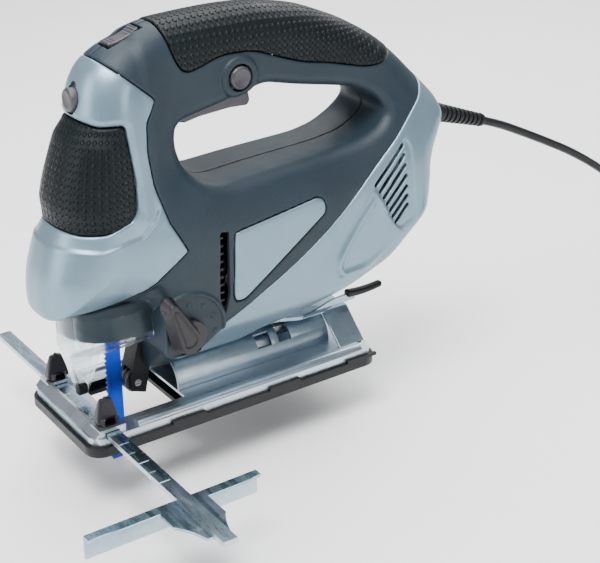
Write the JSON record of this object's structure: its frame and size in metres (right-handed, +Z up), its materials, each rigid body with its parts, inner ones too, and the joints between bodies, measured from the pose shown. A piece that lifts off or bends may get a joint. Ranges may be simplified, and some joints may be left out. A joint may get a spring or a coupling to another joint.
{
  "type": "jigsaw power tool",
  "caption": "Corded jigsaw with a closed handle, orbit knob, clear chip guard, tilting pressed-steel base with shoe, parallel guide, strain relief and mains lead.",
  "frame": {"origin": "middle of the sole's underside", "axes": "-X is the cutting direction, +Z is up from the sole, -Y is the side with the orbit knob"},
  "size_m": [0.4919, 0.256, 0.237],
  "materials": {
    "housing_grey": "fine sparkle texture, satin",
    "silver_plastic": "smooth silver-blue, satin gloss",
    "grip_rubber": "soft rubber with a pattern of small raised dots",
    "control_plastic": "mauve-brown, satin",
    "clear_guard": "clear polycarbonate",
    "blade_blue": "cobalt blue lacquer, bright tooth tips",
    "dark_steel": "blackened steel",
    "bright_steel": "ground steel",
    "bronze": "sintered bronze",
    "cast_aluminium": "die-cast aluminium",
    "core_steel": "laminated iron",
    "copper": "lacquered copper",
    "black_plastic": "glass-filled nylon, matt",
    "carbon": "pressed carbon",
    "base_steel": "galvanised sheet steel",
    "guide_zinc": "blue passivated zinc",
    "cord_rubber": "smooth flexible sheath"
  },
  "bodies": {
    "base": {"base_plate": "base_steel", "base_shoe": "black_plastic", "base_saddle": "base_steel", "rear_bracket": "base_steel", "mains_cord": "cord_rubber", "cord_coil": "cord_rubber", "cord_tie": "black_plastic", "mains_plug": "black_plastic"},
    "tool": {"housing_left": "housing_grey", "housing_right": "housing_grey", "front_cover": "silver_plastic", "front_grip": "grip_rubber", "handle_grip": "grip_rubber", "rear_cover_left": "silver_plastic", "rear_cover_right": "silver_plastic", "side_panel_left": "silver_plastic", "side_panel_right": "silver_plastic", "housing_screws": "dark_steel", "trigger_spring": "bright_steel", "switch_module": "black_plastic", "lock_spring": "bright_steel", "chip_guard": "clear_guard", "plunger_bushes": "bronze", "gear_case": "cast_aluminium", "gear_bearing": "bright_steel", "front_bearing": "bright_steel", "rear_bearing": "bright_steel", "field_core": "core_steel", "field_coils": "copper", "brush_holders": "bronze", "carbon_brushes": "carbon", "brush_springs": "bright_steel", "clamp_screw": "bright_steel", "strain_relief": "cord_rubber"},
    "lever": {"bevel_lever": "base_steel", "lever_grip": "black_plastic"},
    "trigger": {"trigger": "control_plastic"},
    "lock_button": {"lock_on_button": "control_plastic"},
    "front_button": {"front_button": "control_plastic"},
    "rocker": {"rocker_switch": "control_plastic"},
    "orbit_selector": {"orbit_knob": "control_plastic", "orbit_cam": "bright_steel"},
    "reciprocator": {"plunger": "bright_steel", "blade_clamp": "dark_steel", "saw_blade": "blade_blue"},
    "armature": {"pinion": "bright_steel", "armature_shaft": "bright_steel", "armature_core": "core_steel", "commutator": "copper", "cooling_fan": "black_plastic"},
    "gear": {"drive_gear": "bright_steel", "gear_shaft": "bright_steel"},
    "fork": {"roller_fork": "black_plastic", "roller_pin": "bright_steel"},
    "roller": {"guide_roller": "dark_steel"},
    "screw_left": {"thumb_screw_left": "control_plastic"},
    "screw_right": {"thumb_screw_right": "control_plastic"},
    "guide": {"guide_rod": "guide_zinc", "guide_fence": "guide_zinc"}
  },
  "joints": [
    {"name": "bevel_tilt", "type": "hinge", "parent": "base", "child": "tool", "pos_m": [0, 0, 0.0105], "axis": [-1, 0, 0], "range_deg": [-38, 38], "deforming": ["mains_cord"]},
    {"name": "lever_swing", "type": "hinge", "parent": "tool", "child": "lever", "pos_m": [0.042, 0, 0.0283], "axis": [0, 0, -1], "range_deg": [0, 50]},
    {"name": "guide_slide", "type": "slide", "parent": "base", "child": "guide", "axis": [0, 1, 0], "range_m": [-0.05, 0.05]},
    {"name": "screw_left_turn", "type": "hinge", "parent": "base", "child": "screw_left", "pos_m": [-0.077, -0.028, 0.02], "axis": [0, 0, 1], "range_deg": [-90, 90]},
    {"name": "screw_right_turn", "type": "hinge", "parent": "base", "child": "screw_right", "pos_m": [-0.077, 0.028, 0.02], "axis": [0, 0, 1], "range_deg": [-90, 90]},
    {"name": "trigger_pull", "type": "hinge", "parent": "tool", "child": "trigger", "pos_m": [-0.016, 0, 0.161], "axis": [0, -1, 0], "range_deg": [0, 7], "stiffness_Nm_per_rad": 0.6, "springref_deg": -5.73, "deforming": ["trigger_spring"]},
    {"name": "lock_press", "type": "slide", "parent": "tool", "child": "lock_button", "axis": [0, 1, 0], "range_m": [0, 0.003], "stiffness_N_per_m": 300, "springref_m": -0.001, "deforming": ["lock_spring"]},
    {"name": "front_button_press", "type": "slide", "parent": "tool", "child": "front_button", "axis": [1, 0, 0], "range_m": [0, 0.0025], "stiffness_N_per_m": 300, "springref_m": -0.001},
    {"name": "rocker_tilt", "type": "hinge", "parent": "tool", "child": "rocker", "pos_m": [-0.04132, 0, 0.19612], "axis": [0, 1, 0], "range_deg": [-8, 8]},
    {"name": "orbit_select", "type": "hinge", "parent": "tool", "child": "orbit_selector", "pos_m": [-0.031, -0.035, 0.052], "axis": [0, 1, 0], "range_deg": [0, 90]},
    {"name": "blade_stroke", "type": "slide", "parent": "tool", "child": "reciprocator", "axis": [0, 0, 1], "range_m": [0, 0.018]},
    {"name": "armature_spin", "type": "hinge", "parent": "tool", "child": "armature", "pos_m": [0, 0, 0.08], "axis": [1, 0, 0], "continuous": true},
    {"name": "gear_spin", "type": "hinge", "parent": "tool", "child": "gear", "pos_m": [-0.04, 0, 0.10625], "axis": [1, 0, 0], "continuous": true},
    {"name": "fork_swing", "type": "hinge", "parent": "tool", "child": "fork", "pos_m": [-0.04, 0, 0.046], "axis": [0, -1, 0], "range_deg": [0, 3.5]},
    {"name": "roller_spin", "type": "hinge", "parent": "fork", "child": "roller", "pos_m": [-0.0463, 0, 0.016], "axis": [0, 1, 0], "continuous": true}
  ],
  "couplings": [
    {"joint": "gear_spin", "follows": "armature_spin", "ratio": -0.16667}
  ]
}
